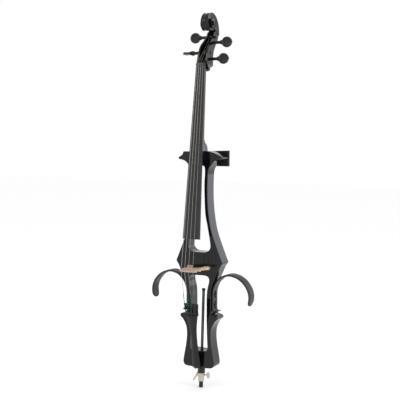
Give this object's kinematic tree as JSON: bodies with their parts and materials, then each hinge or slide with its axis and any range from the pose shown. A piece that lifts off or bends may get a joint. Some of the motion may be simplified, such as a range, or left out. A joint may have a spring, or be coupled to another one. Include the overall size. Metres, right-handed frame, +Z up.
{
  "type": "electric cello",
  "caption": "Open-bodied electric cello with scroll head, pegs, fine tuners, maple bridge, sliding endpin, knee rests, chest rest and rear controls.",
  "frame": {"origin": "middle of the rubber foot's sole, where the instrument meets the floor", "axes": "+Z up along the body, -Y towards the strings and the player's bow, +X to the right when the strings are seen from the front"},
  "size_m": [0.3802, 0.2087, 1.2921],
  "materials": {
    "gloss_black": "high gloss black lacquer over wood",
    "ebony": "satin black hardwood",
    "maple": "clear satin maple",
    "string_steel": "fine wound steel",
    "nickel": "polished warm nickel plate",
    "steel": "ground steel",
    "tuner_black": "black plated metal",
    "coated_strap": "satin black powder coat",
    "rubber_black": "matte black rubber",
    "plastic_black": "satin black plastic",
    "circuit_board": "green solder mask",
    "cell_skin": "plain dark sleeve"
  },
  "bodies": {
    "instrument": {"body": "gloss_black", "neck": "gloss_black", "fingerboard": "ebony", "nut": "ebony", "bridge": "maple", "string_c": "string_steel", "string_g": "string_steel", "string_d": "string_steel", "string_a": "string_steel", "tailpiece": "ebony", "tail_cord": "plastic_black", "saddle": "ebony", "endpin_plug": "plastic_black", "endpin_collar": "nickel", "pickup_left": "nickel", "pickup_right": "nickel", "pickup_lead": "plastic_black", "control_cover": "plastic_black", "volume_pot": "nickel", "tone_pot": "nickel", "output_jack": "nickel", "headphone_jack": "nickel", "switch_body": "plastic_black", "preamp_board": "circuit_board", "battery_box": "plastic_black", "battery": "cell_skin", "knee_screw_lower_left": "coated_strap", "knee_screw_lower_right": "coated_strap", "knee_screw_upper_left": "coated_strap", "knee_screw_upper_right": "coated_strap"},
    "peg_a_body": {"peg_a": "ebony"},
    "peg_c_body": {"peg_c": "ebony"},
    "peg_d_body": {"peg_d": "ebony"},
    "peg_g_body": {"peg_g": "ebony"},
    "endpin": {"endpin_rod": "steel", "endpin_spike": "steel", "endpin_cap": "plastic_black"},
    "tip": {"rubber_foot": "rubber_black"},
    "wing": {"collar_wing_screw": "nickel"},
    "clamp_lever": {"collar_lever": "nickel"},
    "tuner_screw_c_body": {"tuner_screw_c": "tuner_black"},
    "tuner_lever_c_body": {"tuner_lever_c": "tuner_black"},
    "tuner_screw_g_body": {"tuner_screw_g": "tuner_black"},
    "tuner_lever_g_body": {"tuner_lever_g": "tuner_black"},
    "tuner_screw_d_body": {"tuner_screw_d": "tuner_black"},
    "tuner_lever_d_body": {"tuner_lever_d": "tuner_black"},
    "tuner_screw_a_body": {"tuner_screw_a": "tuner_black"},
    "tuner_lever_a_body": {"tuner_lever_a": "tuner_black"},
    "knee_left": {"knee_rest_left": "coated_strap", "knee_sleeve_left": "rubber_black"},
    "knee_right": {"knee_rest_right": "coated_strap", "knee_sleeve_right": "rubber_black"},
    "chest_rest": {"chest_plate": "coated_strap", "chest_pad": "rubber_black", "chest_rod_left": "steel", "chest_rod_right": "steel"},
    "volume_knob_body": {"volume_knob": "plastic_black"},
    "tone_knob_body": {"tone_knob": "plastic_black"},
    "switch_slider": {"power_switch": "plastic_black"},
    "door": {"battery_door": "plastic_black"}
  },
  "joints": [
    {"name": "peg_a_turn", "type": "hinge", "parent": "instrument", "child": "peg_a_body", "pos_m": [0, 0.01777, 1.13202], "axis": [1, 0, 0], "continuous": true},
    {"name": "peg_c_turn", "type": "hinge", "parent": "instrument", "child": "peg_c_body", "pos_m": [0, 0.02127, 1.15422], "axis": [1, 0, 0], "continuous": true},
    {"name": "peg_d_turn", "type": "hinge", "parent": "instrument", "child": "peg_d_body", "pos_m": [0, 0.04777, 1.19062], "axis": [1, 0, 0], "continuous": true},
    {"name": "peg_g_turn", "type": "hinge", "parent": "instrument", "child": "peg_g_body", "pos_m": [0, 0.06227, 1.21122], "axis": [1, 0, 0], "continuous": true},
    {"name": "endpin_slide", "type": "slide", "parent": "instrument", "child": "endpin", "axis": [0, -0.0488, -0.9988], "range_m": [0, 0.2]},
    {"name": "tip_pull_off", "type": "slide", "parent": "endpin", "child": "tip", "axis": [0, -0.0488, -0.9988], "range_m": [0, 0.03]},
    {"name": "wing_turn", "type": "hinge", "parent": "instrument", "child": "wing", "pos_m": [0, 0.0022, 0.04495], "axis": [1, 0, 0], "continuous": true},
    {"name": "clamp_lever_turn", "type": "hinge", "parent": "instrument", "child": "clamp_lever", "pos_m": [0, 0.0023, 0.04694], "axis": [1, 0, 0], "range_deg": [-80, 80]},
    {"name": "tuner_screw_c_turn", "type": "hinge", "parent": "instrument", "child": "tuner_screw_c_body", "pos_m": [-0.0195, -0.07112, 0.26642], "axis": [0, 0.9815, 0.1916], "range_deg": [0, 1080]},
    {"name": "tuner_lever_c_rock", "type": "hinge", "parent": "instrument", "child": "tuner_lever_c_body", "pos_m": [-0.0195, -0.07092, 0.28786], "axis": [1, 0, 0], "range_deg": [0, 5.6], "deforming": ["string_c"]},
    {"name": "tuner_screw_g_turn", "type": "hinge", "parent": "instrument", "child": "tuner_screw_g_body", "pos_m": [-0.0065, -0.07112, 0.26642], "axis": [0, 0.9815, 0.1916], "range_deg": [0, 1080]},
    {"name": "tuner_lever_g_rock", "type": "hinge", "parent": "instrument", "child": "tuner_lever_g_body", "pos_m": [-0.0065, -0.07092, 0.28786], "axis": [1, 0, 0], "range_deg": [0, 5.6], "deforming": ["string_g"]},
    {"name": "tuner_screw_d_turn", "type": "hinge", "parent": "instrument", "child": "tuner_screw_d_body", "pos_m": [0.0065, -0.07112, 0.26642], "axis": [0, 0.9815, 0.1916], "range_deg": [0, 1080]},
    {"name": "tuner_lever_d_rock", "type": "hinge", "parent": "instrument", "child": "tuner_lever_d_body", "pos_m": [0.0065, -0.07092, 0.28786], "axis": [1, 0, 0], "range_deg": [0, 5.6], "deforming": ["string_d"]},
    {"name": "tuner_screw_a_turn", "type": "hinge", "parent": "instrument", "child": "tuner_screw_a_body", "pos_m": [0.0195, -0.07112, 0.26642], "axis": [0, 0.9815, 0.1916], "range_deg": [0, 1080]},
    {"name": "tuner_lever_a_rock", "type": "hinge", "parent": "instrument", "child": "tuner_lever_a_body", "pos_m": [0.0195, -0.07092, 0.28786], "axis": [1, 0, 0], "range_deg": [0, 5.6], "deforming": ["string_a"]},
    {"name": "knee_left_slide", "type": "slide", "parent": "instrument", "child": "knee_left", "axis": [0, 0, 1], "range_m": [-0.004, 0.006]},
    {"name": "knee_right_slide", "type": "slide", "parent": "instrument", "child": "knee_right", "axis": [0, 0, 1], "range_m": [-0.004, 0.006]},
    {"name": "chest_rest_slide", "type": "slide", "parent": "instrument", "child": "chest_rest", "axis": [0, 1, 0], "range_m": [0, 0.03]},
    {"name": "volume_turn", "type": "hinge", "parent": "instrument", "child": "volume_knob_body", "pos_m": [0.003, 0.03017, 0.45147], "axis": [0, 1, 0], "range_deg": [-150, 150]},
    {"name": "tone_turn", "type": "hinge", "parent": "instrument", "child": "tone_knob_body", "pos_m": [0.037, 0.03017, 0.45147], "axis": [0, 1, 0], "range_deg": [-150, 150]},
    {"name": "power_slide", "type": "slide", "parent": "instrument", "child": "switch_slider", "axis": [1, 0, 0], "range_m": [0, 0.0084]},
    {"name": "battery_door_swing", "type": "hinge", "parent": "instrument", "child": "door", "pos_m": [-0.048, 0.02892, 0.41287], "axis": [-1, 0, 0], "range_deg": [0, 100]}
  ],
  "couplings": [
    {"joint": "tuner_lever_c_rock", "follows": "tuner_screw_c_turn", "ratio": 0.0051},
    {"joint": "tuner_lever_g_rock", "follows": "tuner_screw_g_turn", "ratio": 0.0051},
    {"joint": "tuner_lever_d_rock", "follows": "tuner_screw_d_turn", "ratio": 0.0051},
    {"joint": "tuner_lever_a_rock", "follows": "tuner_screw_a_turn", "ratio": 0.0051}
  ]
}
